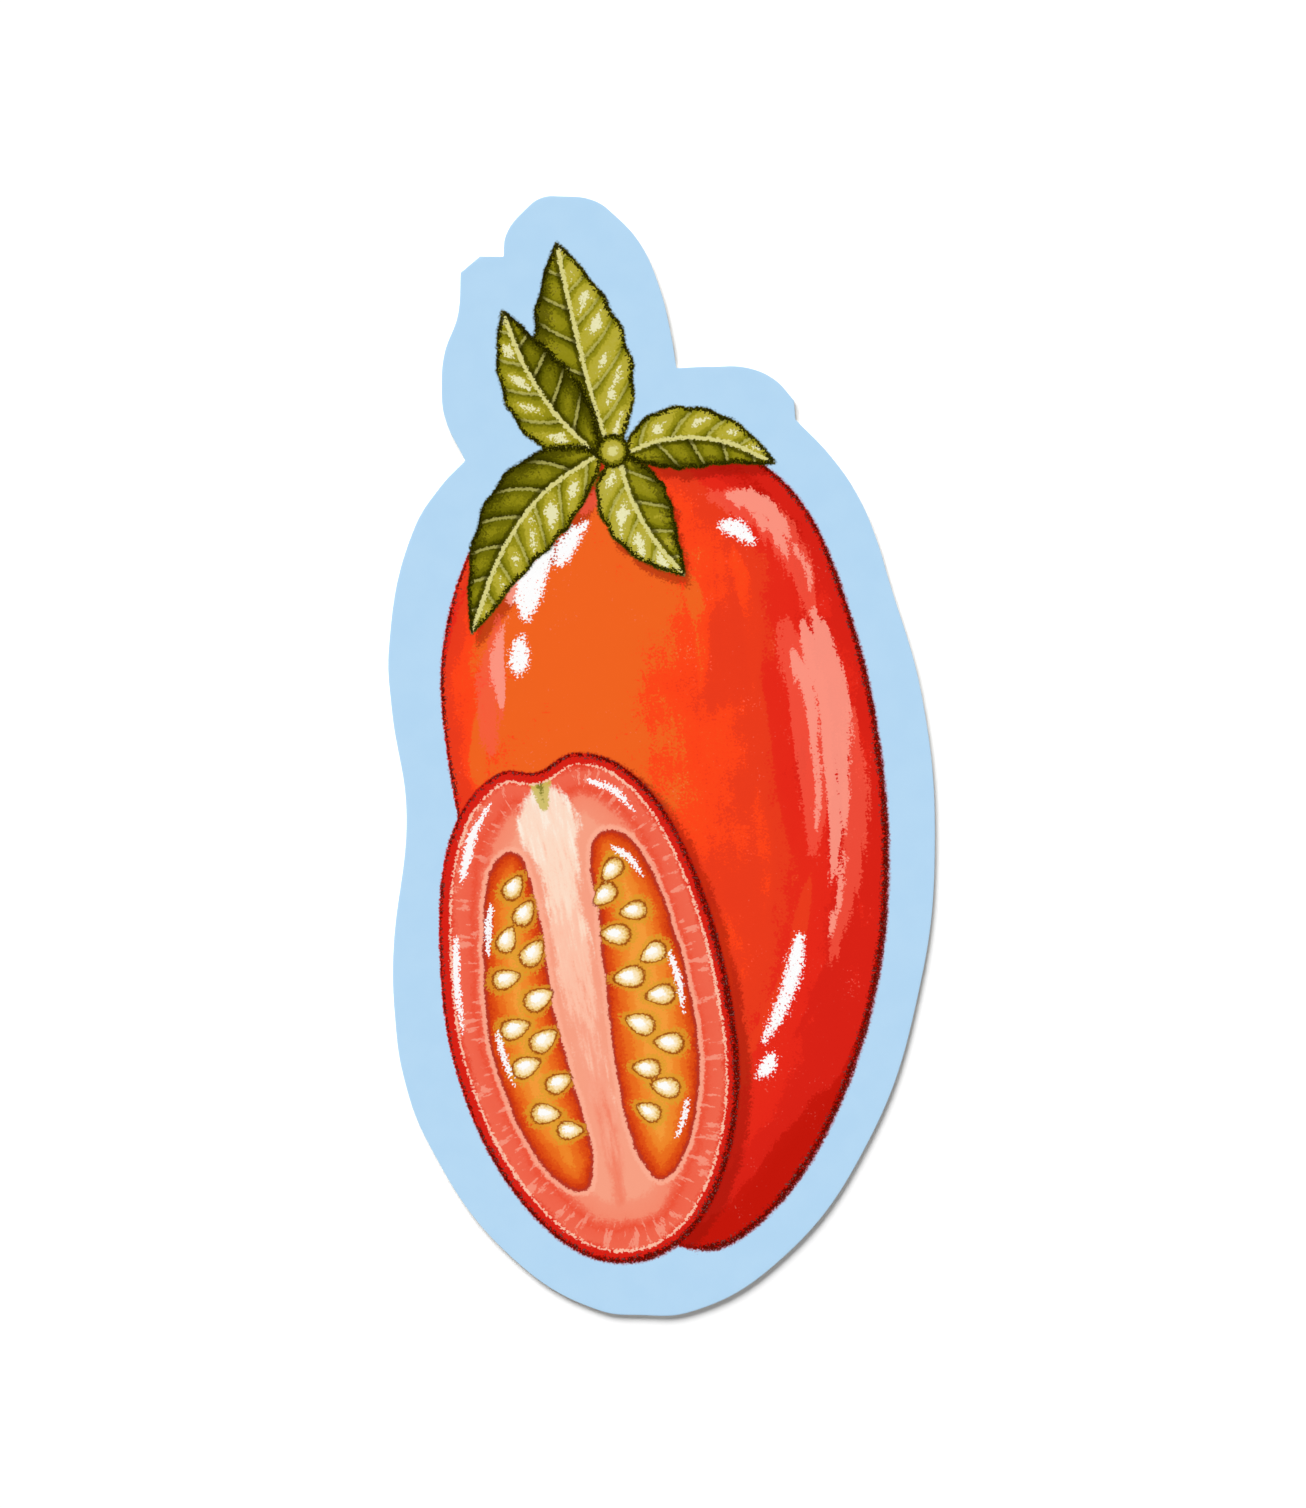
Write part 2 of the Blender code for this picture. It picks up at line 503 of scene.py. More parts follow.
# The mesh's points are about this far apart, or less, along the rim, and on rings this far inside it. A
# grid fills the rest. Edges that turn by more degrees than this are sharp.
RIM_SPACING = 0.25
RING_INSETS = (0.10, 0.20, 0.34)
GRID_INSET, GRID_SPACING = 0.45, 0.2
SHARP_TURN = 50

# Points of the sheet's outline that are nearer than this to the one before are left out, and where it
# turns by more degrees than this the cut has a corner
SHORTEST_RIM_STEP = 0.15
CORNER_TURN = 20


def rim_of(node):
    """The outline of a sheet's upper face, anticlockwise, in millimetres."""
    corners = {}
    open_edges = set()
    for polygon in node.data.polygons:
        if polygon.normal.z < 0.99:
            continue
        keys = []
        for index in polygon.vertices:
            place = node.data.vertices[index].co / MM
            key = (round(place.x, 4), round(place.y, 4))
            corners[key] = (place.x, place.y)
            keys.append(key)
        for start, end in zip(keys, keys[1:] + keys[:1]):
            if (end, start) in open_edges:
                open_edges.remove((end, start))
            else:
                open_edges.add((start, end))
    following = dict(open_edges)
    key = min(following)
    rim = [corners[key]]
    while following[key] != min(following):
        key = following[key]
        if math.dist(corners[key], rim[-1]) > SHORTEST_RIM_STEP:
            rim.append(corners[key])
    return np.array(rim)


def smooth_rim(rim):
    """The outline with points in between, on a curve that is smooth but for the cut's corners."""
    run = np.roll(rim, -1, axis=0) - rim
    length = np.hypot(*run.T)[:, None]
    leaving = run / length
    arriving = np.roll(leaving, 1, axis=0)
    tangent = (leaving + arriving) / np.hypot(*(leaving + arriving).T)[:, None]
    smooth = (leaving * arriving).sum(axis=1)[:, None] > math.cos(math.radians(CORNER_TURN))
    starts = np.where(smooth, tangent, leaving) * length
    ends = np.roll(np.where(smooth, tangent, arriving), -1, axis=0) * length
    points = []
    for i, (start, step) in enumerate(zip(rim, run)):
        count = math.ceil(length[i, 0] / RIM_SPACING)
        share = np.arange(count)[:, None] / count
        swing = starts[i] * (share**3 - 2 * share**2 + share) + ends[i] * (share**3 - share**2)
        points.append(start + step * (3 * share**2 - 2 * share**3) + swing)
    return np.vstack(points)


def inset(rim, distance):
    """The rim moved inwards."""
    run = np.roll(rim, -1, axis=0) - rim
    run /= np.hypot(*run.T)[:, None]
    inward = np.column_stack((-run[:, 1], run[:, 0]))
    inward += np.roll(inward, 1, axis=0)
    inward /= np.hypot(*inward.T)[:, None]
    return rim + distance * inward


def hexagonal_grid(low, high, spacing):
    """Points at the corners of equal triangles, from the low corner to the high one."""
    rows = np.arange(low[1], high[1], spacing * math.sqrt(0.75))
    columns = np.arange(low[0], high[0], spacing)
    grid = [
        np.column_stack((columns + spacing / 2 * (row % 2), np.full(len(columns), height)))
        for row, height in enumerate(rows)
    ]
    return np.vstack(grid)


def ripple(points):
    """Height of the laminate's faint unevenness."""
    x, y = points.T
    wave = np.sin(1.9 * x + 0.7 * y + 1.3 * np.sin(0.31 * y))
    wave += np.sin(-0.8 * x + 2.3 * y + 1.1 * np.sin(0.43 * x))
    return RIPPLE * (wave - 2)


def top_face(rim, top):
    """Vertices and triangles of the face inside the rim, whose own points are the first vertices."""
    # the rings and the grid, each with the least distance from the rim of the points that it keeps
    inner = [(0.95 * depth, inset(rim, depth)) for depth in RING_INSETS]
    inner.append((GRID_INSET, hexagonal_grid(rim.min(axis=0), rim.max(axis=0), GRID_SPACING)))
    inner = [points[inside_distance(points, rim) > least] for least, points in inner]
    flat = [Vector(point) for point in np.vstack((rim, *inner))]
    corners, _, triangles, sources, _, outlines = delaunay_2d_cdt(
        flat, [], [list(range(len(rim)))], 1, 1e-6, True
    )
    order = np.argsort([min(numbers) for numbers in sources])
    number = np.argsort(order)
    corners = np.array([tuple(corner) for corner in corners])[order]
    triangles = [triangle for triangle, inside in zip(triangles, outlines) if inside]
    depth = np.maximum(inside_distance(corners, rim), 0)
    height = top - EDGE_PRESS * np.exp(-depth / EDGE_PRESS_REACH)
    height += ripple(corners) * np.clip(depth, 0, 1)
    return np.column_stack((corners, height)), number[triangles].tolist()


def edge_loops(rim, underside, top):
    """Loops of vertices from the underside up the cut and round the edge, up to the face's rim."""
    shoulder = top - EDGE_PRESS - EDGE_ROUNDING
    loops = [np.column_stack((rim, np.full(len(rim), underside)))]
    for angle in ROUNDING_ANGLES:
        bend = math.radians(angle)
        ring = inset(rim, EDGE_ROUNDING * (1 - math.cos(bend)))
        height = shoulder + EDGE_ROUNDING * math.sin(bend)
        loops.append(np.column_stack((ring, np.full(len(rim), height))))
    return loops


def quads_between(rounds, count):
    """Faces from each of so many rounds of vertices, with this count in each, to the one above it."""
    quads = []
    for low in range(0, rounds * count, count):
        for i in range(count):
            j = (i + 1) % count
            quads.append((low + i, low + j, low + count + j, low + count + i))
    return quads


def printed_face(rim, underside, top):
    """Closed solid of film and laminate: its mesh in metres, with the print's fields on it."""
    loops = edge_loops(rim, underside, top)
    face, triangles = top_face(inset(rim, EDGE_ROUNDING), top)
    vertices = np.vstack((*loops, face))
    count = len(rim)
    start = count * len(loops)
    faces = [tuple(reversed(range(count)))]
    faces += quads_between(len(loops), count)
    faces += [tuple(start + i for i in triangle) for triangle in triangles]
    mesh = bpy.data.meshes.new("printed_face")
    mesh.from_pydata((vertices * MM).tolist(), [], faces)
    # the underside and the upright faces have the material of the cut
    cut_faces = 1 + count
    mesh.polygons.foreach_set("material_index", [1] * cut_faces + [0] * (len(faces) - cut_faces))
    mesh.polygons.foreach_set("use_smooth", [True] * len(faces))
    mesh.set_sharp_from_angle(angle=math.radians(SHARP_TURN))
    for name, values in print_fields(vertices[:, :2]).items():
        kind, key = ("FLOAT", "value") if values.ndim == 1 else ("FLOAT_VECTOR", "vector")
        mesh.attributes.new(name, kind, "POINT").data.foreach_set(key, values.ravel())
    return mesh


# Materials

# Widths of the grains in chalk, in brush strokes and in a wash, in millimetres
GRAIN_SIZE = 0.15
TOOTH_SIZE = 0.36
BRUSH_SIZE = 2.1
WASH_SIZE = 7.5

# How far inside an outline the middle of its chalk line runs
PEN_INSET = 0.12

# The cut through adhesive, film, ink and laminate: where each ends, as a share of the height, and
# its colour
CUT_SHEETS = ((0.12, "CFCBBE"), (0.60, "F2F2EF"), (0.66, "A9C8E6"), (1.0, "DCE6EC"))
SHEET_BLEND = 0.01

# The liner's paper, and the width, stretch and height of its fibres
PAPER_INKS = ((0.0, "E4DECF"), (0.5, "EFEBDF"), (1.0, "F8F5EC"))
FIBRE_WIDTH, FIBRE_STRETCH, FIBRE_HEIGHT = 0.12, 8.0, 0.01


def linear(ink):
    """The linear colour of six hexadecimal digits."""
    parts = [int(ink[i : i + 2], 16) / 255 for i in (0, 2, 4)]
    values = [p / 12.92 if p <= 0.04045 else ((p + 0.055) / 1.055) ** 2.4 for p in parts]
    return np.array((*values, 1.0))


def washes(inks, bounds, blend, drift=0.14):
    """Stops of a ramp with a wash of each ink, which drifts towards the next until its bound."""
    colours = [linear(ink) for ink in inks]
    stops = [(0.0, colours[0])]
    for bound, colour, following in zip(bounds, colours, colours[1:]):
        stops.append((bound - blend, colour + drift * (following - colour)))
        stops.append((bound + blend, following))
    return [*stops, (1.0, colours[-1])]


def sheet_stops(sheets):
    """Stops of a ramp in which each sheet runs up to its share of the height, and ends sharply."""
    stops = []
    start = 0.0
    for end, ink in sheets:
        stops += [(start, linear(ink)), (end, linear(ink))]
        start = end + SHEET_BLEND
    return stops


def set_stops(ramp, stops):
    """Gives a new ramp, which has two stops, its outer stops and then the others."""
    for element, (position, colour) in zip(ramp.elements, (stops[0], stops[-1])):
        element.position = position
        element.color = colour
    for position, colour in stops[1:-1]:
        ramp.elements.new(position).color = colour


class Shader:
    """Adds nodes to a material and gives their outputs. Lengths are in millimetres."""

    def __init__(self, name):
        self.material = bpy.data.materials.new(name)
        self.material.use_nodes = True
        self.tree = self.material.node_tree
        self.surface = self.tree.nodes["Principled BSDF"]
        coordinates = self.tree.nodes.new("ShaderNodeTexCoord")
        millimetres = self.tree.nodes.new("ShaderNodeVectorMath")
        millimetres.operation = "SCALE"
        millimetres.inputs["Scale"].default_value = 1 / MM
        self.tree.links.new(coordinates.outputs["Object"], millimetres.inputs[0])
        self.place = millimetres.outputs[0]

    def put(self, socket, value):
        """Links an output to the socket, or sets the socket to a constant."""
        if isinstance(value, bpy.types.NodeSocket):
            self.tree.links.new(value, socket)
        else:
            socket.default_value = value

    def math(self, operation, *values):
        """The result of Blender's maths operation of that name."""
        node = self.tree.nodes.new("ShaderNodeMath")
        node.operation = operation
        for socket, value in zip(node.inputs, values):
            self.put(socket, value)
        return node.outputs[0]

    def plus(self, value, other, share=1.0):
        """The value and a share of the other one."""
        return self.math("MULTIPLY_ADD", other, share, value)

    def least(self, first, second):
        """The lower of two values: of two depths, the one inside both shapes."""
        return self.math("MINIMUM", first, second)

    def size_of(self, value):
        """The value without its sign."""
        return self.math("ABSOLUTE", value)

    def line(self, value, middle, half_width):
        """Depth inside the line that runs where the value is the middle one."""
        return self.math("SUBTRACT", half_width, self.size_of(self.plus(value, -middle)))

    def field(self, name):
        """A field of the mesh."""
        node = self.tree.nodes.new("ShaderNodeAttribute")
        node.attribute_name = name
        return node.outputs["Fac"]

    def split(self, vector):
        """The three parts of a vector."""
        node = self.tree.nodes.new("ShaderNodeSeparateXYZ")
        self.tree.links.new(vector, node.inputs[0])
        return node.outputs

    def three_fields(self, name):
        """The three parts of a field of vectors."""
        node = self.tree.nodes.new("ShaderNodeAttribute")
        node.attribute_name = name
        return self.split(node.outputs["Vector"])

    def noise_at(self, vector, detail):
        """Noise from about -1 to 1 whose grains are one unit of the vector wide."""
        node = self.tree.nodes.new("ShaderNodeTexNoise")
        node.inputs["Scale"].default_value = 1.0
        node.inputs["Detail"].default_value = detail
        node.inputs["Roughness"].default_value = 0.55
        self.tree.links.new(vector, node.inputs["Vector"])
        return self.math("MULTIPLY_ADD", node.outputs["Fac"], 4.0, -2.0)

    def noise(self, size, detail=2.0, stretch=1.0, turn=0.0, offset=0.0):
        """Noise over the sheet, its grains this wide, stretched upwards, and turned by degrees."""
        mapping = self.tree.nodes.new("ShaderNodeMapping")
        mapping.vector_type = "TEXTURE"
        mapping.inputs["Location"].default_value = (offset, 0.0, 0.0)
        mapping.inputs["Rotation"].default_value = (0.0, 0.0, math.radians(turn))
        mapping.inputs["Scale"].default_value = (size, size * stretch, size)
        self.tree.links.new(self.place, mapping.inputs["Vector"])
        return self.noise_at(mapping.outputs["Vector"], detail)

    def noise_between(self, x, y):
        """Noise over two of the material's own outputs."""
        node = self.tree.nodes.new("ShaderNodeCombineXYZ")
        self.put(node.inputs["X"], x)
        self.put(node.inputs["Y"], y)
        return self.noise_at(node.outputs["Vector"], 2.0)

    def mask(self, depth, softness):
        """1 where the depth is over the softness, 0 where it is as far under nought."""
        node = self.tree.nodes.new("ShaderNodeMapRange")
        node.interpolation_type = "SMOOTHSTEP"
        self.put(node.inputs["Value"], depth)
        node.inputs["From Min"].default_value = -softness
        node.inputs["From Max"].default_value = softness
        return node.outputs["Result"]

    def over(self, under, ink, mask, opacity=1.0):
        """The ink laid over what is under it, each as six digits or an output."""
        node = self.tree.nodes.new("ShaderNodeMix")
        node.data_type = "RGBA"
        if opacity < 1.0:
            mask = self.math("MULTIPLY", mask, opacity)
        self.put(node.inputs["Factor"], mask)
        self.put(node.inputs["A"], linear(under) if isinstance(under, str) else under)
        self.put(node.inputs["B"], linear(ink) if isinstance(ink, str) else ink)
        return node.outputs["Result"]

    def ramp(self, value, stops):
        """The colour that a ramp with those stops has at the value."""
        node = self.tree.nodes.new("ShaderNodeValToRGB")
        set_stops(node.color_ramp, stops)
        self.put(node.inputs["Fac"], value)
        return node.outputs["Color"]

    def finish(self, **inputs):
        """The material, with these inputs of its surface set."""
        for name, value in inputs.items():
            self.put(self.surface.inputs[name.replace("_", " ")], value)
        return self.material


class Print(Shader):
    """A shader with the unevenness of chalk, brush and wash at hand."""

    def __init__(self, name):
        super().__init__(name)
        self.grain = self.noise(GRAIN_SIZE, 1.0)
        self.chalk = self.plus(self.grain, self.noise(TOOTH_SIZE, 2.0, offset=5.0), 0.5)
        self.brush = self.noise(BRUSH_SIZE, 3.0, offset=11.0)
        self.wash = self.noise(WASH_SIZE, 1.0, offset=23.0)

    def rough(self, value, grain=0.0, chalk=0.0, brush=0.0, wash=0.0):
        """The value, made uneven by so much of each noise."""
        shares = ((self.grain, grain), (self.chalk, chalk), (self.brush, brush), (self.wash, wash))
        for noise, share in shares:
            if share:
                value = self.plus(value, noise, share)
        return value

    def fill(self, depth):
        """Mask of a shape that is painted up to its outline."""
        return self.mask(self.rough(depth, grain=0.06), 0.04)

    def pen(self, under, depth, half_width, ink, core_ink, speck_ink):
        """A chalk line along an outline: dusty outside, broken inside, with a dark, grainy core."""
        half_width = self.rough(half_width, brush=0.035)
        outer = self.rough(self.plus(depth, self.plus(half_width, -PEN_INSET)), chalk=0.07)
        inner = self.rough(self.plus(self.plus(half_width, PEN_INSET), depth, -1.0), chalk=0.22)
        dusty = self.mask(outer, 0.13)
        colour = self.over(under, ink, self.least(dusty, self.mask(inner, 0.05)), 0.94)
        core = self.line(depth, PEN_INSET * 0.8, self.math("MULTIPLY", half_width, 0.68))
        core = self.least(self.rough(core, chalk=0.06, brush=0.07), 0.09)
        core = self.least(self.rough(core, grain=0.24), self.plus(outer, -0.05))
        colour = self.over(colour, core_ink, self.mask(core, 0.05), 0.88)
        speck = self.least(core, self.plus(self.grain, -0.52))
        return self.over(colour, speck_ink, self.mask(speck, 0.08), 0.3)


TOMATO_TONES = washes(
    (DEEP_RED, CRIMSON, RED, ORANGE_RED, VERMILION, ORANGE),
    bounds=(0.20, 0.43, 0.63, 0.79, 0.89),
    blend=0.014,
)
LEAF_TONES = washes(
    (DARK_OLIVE, OLIVE, MID_OLIVE, LEAF_GREEN, LIGHT_OLIVE, PALE_OLIVE),
    bounds=(0.10, 0.24, 0.41, 0.59, 0.86),
    blend=0.03,
)
STUB_TONES = washes((MID_OLIVE, LIGHT_OLIVE, PALE_OLIVE), bounds=(0.34, 0.68), blend=0.04)
FLESH_TONES = washes(
    ("E5341C", "F2694F", "EE5338", "F78B6E", "F9A184"),
    bounds=(0.15, 0.34, 0.47, 0.68),
    blend=0.03,
    drift=0.3,
)
CORE_TONES = washes(
    ("F47E60", "F99C80", "FFBFA4", "FFDCC4", "FFF0DF"),
    bounds=(0.18, 0.42, 0.66, 0.88),
    blend=0.05,
    drift=0.3,
)
GEL_TONES = washes(
    ("C93410", "DD4A14", "EA681C", "F08428", "F59B3A"),
    bounds=(0.12, 0.30, 0.54, 0.80),
    blend=0.03,
    drift=0.3,
)
SEED_TONES = washes(
    ("D9A048", "F0CB7C", CREAM, "FFF2D6"),
    bounds=(0.16, 0.42, 0.74),
    blend=0.05,
    drift=0.3,
)


def leaf_washes(shader, away, share, cell):
    """The greens of a leaf: a lit half, domes between the veins, and a dark edge opposite."""
    lit_half = shader.mask(shader.rough(away, brush=0.12), 0.22)
    between_rib_and_edge = shader.line(shader.size_of(share), 0.5, 0.5)
    light = shader.plus(shader.field("leaf_tone"), lit_half, 0.24)
    light = shader.plus(light, shader.math("MULTIPLY", cell, cell), -1.5)
    light = shader.plus(light, cell, -0.2)
    light = shader.plus(light, between_rib_and_edge, 0.26)
    green = shader.ramp(shader.rough(light, chalk=0.06, brush=0.09), LEAF_TONES)
    dark_edge = shader.rough(shader.plus(-0.62, share, -1.0), chalk=0.24, brush=0.14)
    return shader.over(green, DARK_OLIVE, shader.mask(dark_edge, 0.10), 0.65)


def leaf_lines(shader, green, away, share, cell):
    """The veins, the midrib with a shade along its dark side, and the glints on the domes."""
    vein = shader.rough(shader.line(shader.size_of(cell), 0.5, 0.052), chalk=0.035)
    short_of_edge = shader.mask(shader.line(share, 0.0, 0.8), 0.18)
    vein = shader.math("MULTIPLY", shader.mask(vein, 0.025), short_of_edge)
    green = shader.over(green, VEIN_OLIVE, vein, 0.62)
    rib_shade = shader.rough(shader.line(away, -0.26, 0.17), chalk=0.13)
    green = shader.over(green, DARK_OLIVE, shader.mask(rib_shade, 0.08), 0.75)
    rib = shader.rough(shader.line(away, 0.0, 0.14), chalk=0.10)
    green = shader.over(green, PALE_OLIVE, shader.mask(rib, 0.04), 0.95)

    glint = shader.least(shader.line(share, 0.46, 0.17), shader.line(cell, -0.10, 0.17))
    glint = shader.rough(shader.plus(glint, -0.07), chalk=0.12, brush=0.26)
    return shader.over(green, GLINT_OLIVE, shader.mask(glint, 0.04), 0.8)


def paint_leaves(shader, under):
    """The basil leaves."""
    depth = shader.field("leaves")
    away, share, veins = shader.three_fields("leaf_place")
    cell = shader.plus(shader.math("FRACT", veins), -0.5)
    green = leaf_washes(shader, away, share, cell)
    green = leaf_lines(shader, green, away, share, cell)
    colour = shader.over(under, green, shader.fill(depth))
    return shader.pen(colour, depth, LEAF_PEN, *GREEN_PEN)


def paint_stub(shader, under):
    """The cut stem that the leaves grow from."""
    depth = shader.field("stub")
    wood = shader.ramp(shader.rough(shader.math("MULTIPLY", depth, 0.85), chalk=0.10), STUB_TONES)
    colour = shader.over(under, wood, shader.fill(depth))
    return shader.pen(colour, depth, LEAF_PEN, *GREEN_PEN)


def tomato_skin(shader, streak):
    """The washes of the whole tomato, with salmon specks, and the leaves' shade on it."""
    light = shader.plus(shader.field("tomato_light"), streak, 0.02)
    skin = shader.ramp(shader.rough(light, chalk=0.036, brush=0.05, wash=0.07), TOMATO_TONES)
    specks = shader.rough(-1.0, chalk=0.8, brush=0.6)
    skin = shader.over(skin, SALMON, shader.mask(specks, 0.15), 0.2)
    shade = shader.rough(shader.field("leaf_shade"), chalk=0.22, brush=0.15)
    return shader.over(skin, SHADE_RED, shader.mask(shade, 0.16), 0.62)


def tomato_lights(shader, skin, streak):
    """The coral glow and salmon sheen of the whole tomato, and its white chalk highlights."""
    glow = shader.rough(shader.plus(shader.field("tomato_glow"), streak, 0.36), chalk=0.24)
    skin = shader.over(skin, CORAL, shader.mask(glow, 0.10), 0.62)
    sheen = shader.rough(shader.plus(shader.field("tomato_sheen"), streak, 0.24), chalk=0.16)
    skin = shader.over(skin, SALMON, shader.mask(sheen, 0.08), 0.85)
    gloss = shader.rough(shader.plus(shader.field("tomato_gloss"), streak, 0.10), brush=0.10)
    dust = shader.rough(shader.least(shader.plus(gloss, 0.12), 0.24), grain=0.36)
    skin = shader.over(skin, WHITE, shader.mask(dust, 0.05), 0.65)
    full = shader.rough(shader.least(gloss, 0.24), grain=0.29)
    return shader.over(skin, WHITE, shader.mask(full, 0.06))


def paint_tomato(shader, under):
    """The whole tomato, brushed lengthwise."""
    depth = shader.field("tomato")
    streak = shader.noise(0.55, 2.0, stretch=9.0, turn=TOMATO_TURN, offset=3.0)
    skin = tomato_skin(shader, streak)
    skin = tomato_lights(shader, skin, streak)
    colour = shader.over(under, skin, shader.fill(depth))
    return shader.pen(colour, depth, shader.field("tomato_pen"), *RED_PEN)


def paint_flesh(shader, depth):
    """The flesh of the half tomato, whose colour changes from the skin inwards, with pale fibres."""
    level = shader.rough(depth, chalk=0.16, brush=0.30)
    flesh = shader.ramp(shader.math("MULTIPLY", level, 1 / 6), FLESH_TONES)
    fibre = shader.noise_between(shader.field("fibres"), shader.math("MULTIPLY", depth, 0.45))
    fibre = shader.rough(shader.plus(fibre, -0.34), chalk=0.16)
    band = shader.mask(shader.rough(shader.line(level, 1.75, 0.85), chalk=0.2), 0.4)
    fibre = shader.math("MULTIPLY", shader.mask(fibre, 0.12), band)
    return shader.over(flesh, FIBRE_PINK, fibre, 0.45)


def paint_core(shader, under):
    """The pale core down the middle of the half tomato, and the scar of the stem at its top."""
    streak = shader.noise(0.42, 2.0, stretch=7.0, turn=HALF_TURN, offset=17.0)
    core = shader.rough(shader.plus(shader.field("core"), streak, 0.24), chalk=0.14, brush=0.28)
    light = shader.rough(shader.plus(shader.field("core_height"), streak, 0.17), chalk=0.04)
    flesh = shader.over(under, shader.ramp(light, CORE_TONES), shader.mask(core, 0.26), 0.95)
    scar = shader.rough(shader.field("stem_scar"), chalk=0.12)
    flesh = shader.over(flesh, SCAR_OLIVE, shader.mask(scar, 0.08), 0.9)
    return shader.over(flesh, MID_OLIVE, shader.mask(shader.plus(scar, -0.40), 0.08), 0.8)


def paint_chambers(shader, under):
    """The two chambers of the half tomato: a pale lip, a dark rim, and the gel."""
    depth = shader.field("chambers")
    rim = shader.rough(depth, chalk=0.08, brush=0.10)
    flesh = shader.over(under, LIP_PINK, shader.mask(shader.plus(rim, 0.42), 0.10), 0.75)
    flesh = shader.over(flesh, RIM_RED, shader.mask(shader.plus(rim, 0.12), 0.06), 0.95)
    level = shader.rough(shader.math("MULTIPLY", depth, 0.45), chalk=0.07, brush=0.11)
    gel = shader.ramp(level, GEL_TONES)
    return shader.over(flesh, gel, shader.mask(shader.plus(rim, -0.08), 0.06))


def paint_seeds(shader, under):
    """The seeds in their clear gel, each with an outline and a light."""
    depth = shader.rough(shader.field("seeds"), grain=0.06)
    gel = shader.least(shader.plus(depth, 0.34), shader.plus(shader.field("chambers"), 0.06))
    flesh = shader.over(under, SEED_GEL, shader.mask(shader.rough(gel, chalk=0.12), 0.08), 0.65)
    flesh = shader.over(flesh, SEED_OUTLINE, shader.mask(shader.plus(depth, 0.10), 0.05), 0.85)
    body = shader.rough(shader.math("MULTIPLY", depth, 2.2), chalk=0.10, brush=0.12)
    flesh = shader.over(flesh, shader.ramp(body, SEED_TONES), shader.mask(depth, 0.04))
    light = shader.rough(shader.field("seed_lights"), grain=0.07)
    return shader.over(flesh, WHITE, shader.mask(light, 0.04), 0.9)


def paint_half(shader, under):
    """The half tomato with its cut face up, and the shade that it throws on the whole one."""
    depth = shader.field("half")
    shade = shader.least(shader.field("half_shade"), shader.field("tomato"))
    shade = shader.mask(shader.rough(shade, chalk=0.24, brush=0.18), 0.2)
    colour = shader.over(under, SHADE_RED, shade, 0.62)

    flesh = paint_flesh(shader, depth)
    flesh = paint_core(shader, flesh)
    flesh = paint_chambers(shader, flesh)
    flesh = paint_seeds(shader, flesh)
    gloss = shader.rough(shader.field("half_gloss"), grain=0.20)
    flesh = shader.over(flesh, WHITE, shader.mask(gloss, 0.04), 0.95)

    cut = shader.mask(shader.rough(shader.plus(depth, -0.72), chalk=0.10), 0.05)
    skin = shader.over(CRIMSON, flesh, cut)
    lip = shader.rough(shader.line(depth, 0.78, 0.07), chalk=0.12, brush=0.06)
    skin = shader.over(skin, BLUSH, shader.mask(lip, 0.04), 0.85)
    colour = shader.over(colour, skin, shader.fill(depth))
    return shader.pen(colour, depth, shader.field("half_pen"), *RED_PEN)


def print_material():
    """Printed film under a clear gloss laminate."""
    shader = Print("printed_vinyl")
    colour = shader.over(GROUND, PALE_GROUND, shader.mask(shader.brush, 0.8))
    colour = paint_tomato(shader, colour)
    colour = paint_half(shader, colour)
    colour = paint_leaves(shader, colour)
    colour = paint_stub(shader, colour)
    return shader.finish(
        Base_Color=colour,
        Roughness=0.45,
        Specular_IOR_Level=0.0,
        Coat_Weight=1.0,
        Coat_Roughness=0.05,
        Coat_IOR=1.5,
    )


def edge_material(underside, top):
    """The cut through adhesive, film, ink and laminate."""
    shader = Shader("cut_edge")
    share = shader.plus(shader.split(shader.place)["Z"], -underside)
    share = shader.math("DIVIDE", share, top - underside)
    share = shader.plus(share, shader.noise(0.05), 0.02)
    tone = shader.ramp(share, sheet_stops(CUT_SHEETS))
    return shader.finish(Base_Color=tone, Roughness=0.5)


def liner_material():
    """Off-white siliconised paper: cloudy, with short fibres two ways, and a faint sheen."""
    shader = Shader("liner_paper")
    fibre = shader.noise(FIBRE_WIDTH, stretch=FIBRE_STRETCH, turn=24.0)
    other_fibre = shader.noise(FIBRE_WIDTH, stretch=FIBRE_STRETCH, turn=-51.0, offset=7.0)
    fibres = shader.math("MAXIMUM", fibre, other_fibre)
    tone = shader.plus(0.5, shader.noise(4.0, 3.0), 0.12)
    tone = shader.plus(tone, fibres, 0.16)
    paper = shader.ramp(tone, [(position, linear(ink)) for position, ink in PAPER_INKS])
    bump = shader.tree.nodes.new("ShaderNodeBump")
    bump.inputs["Strength"].default_value = 0.35
    bump.inputs["Distance"].default_value = FIBRE_HEIGHT * MM
    shader.put(bump.inputs["Height"], fibres)
    return shader.finish(Base_Color=paper, Roughness=0.55, Normal=bump.outputs["Normal"])


# The sticker

rim = smooth_rim(rim_of(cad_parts["vinyl_film"]))
liner_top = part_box("release_liner")[1].z / MM
face_underside = liner_top + LINER_GAP
face_top = cad_high.z / MM
face = bpy.data.objects.new("printed_face", printed_face(rim, face_underside, face_top))
bpy.context.scene.collection.objects.link(face)
face.data.materials.append(print_material())
face.data.materials.append(edge_material(face_underside, face_top))
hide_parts("vinyl_film", "gloss_laminate")
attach(face, "root")

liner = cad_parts["release_liner"]
liner.data.materials.clear()
liner.data.materials.append(liner_material())


# Table, light and camera

# Half the table's side in metres, its white, and how much it glows
TABLE_HALF = 1.6
TABLE_WHITE, TABLE_GLOW = 0.97, 0.07

# The way that the lamp's light travels, its strength, and the degrees across which it comes
KEY_TRAVEL = (0.19, -0.39, -0.36)
KEY_STRENGTH = 4.22
KEY_SPREAD = 36

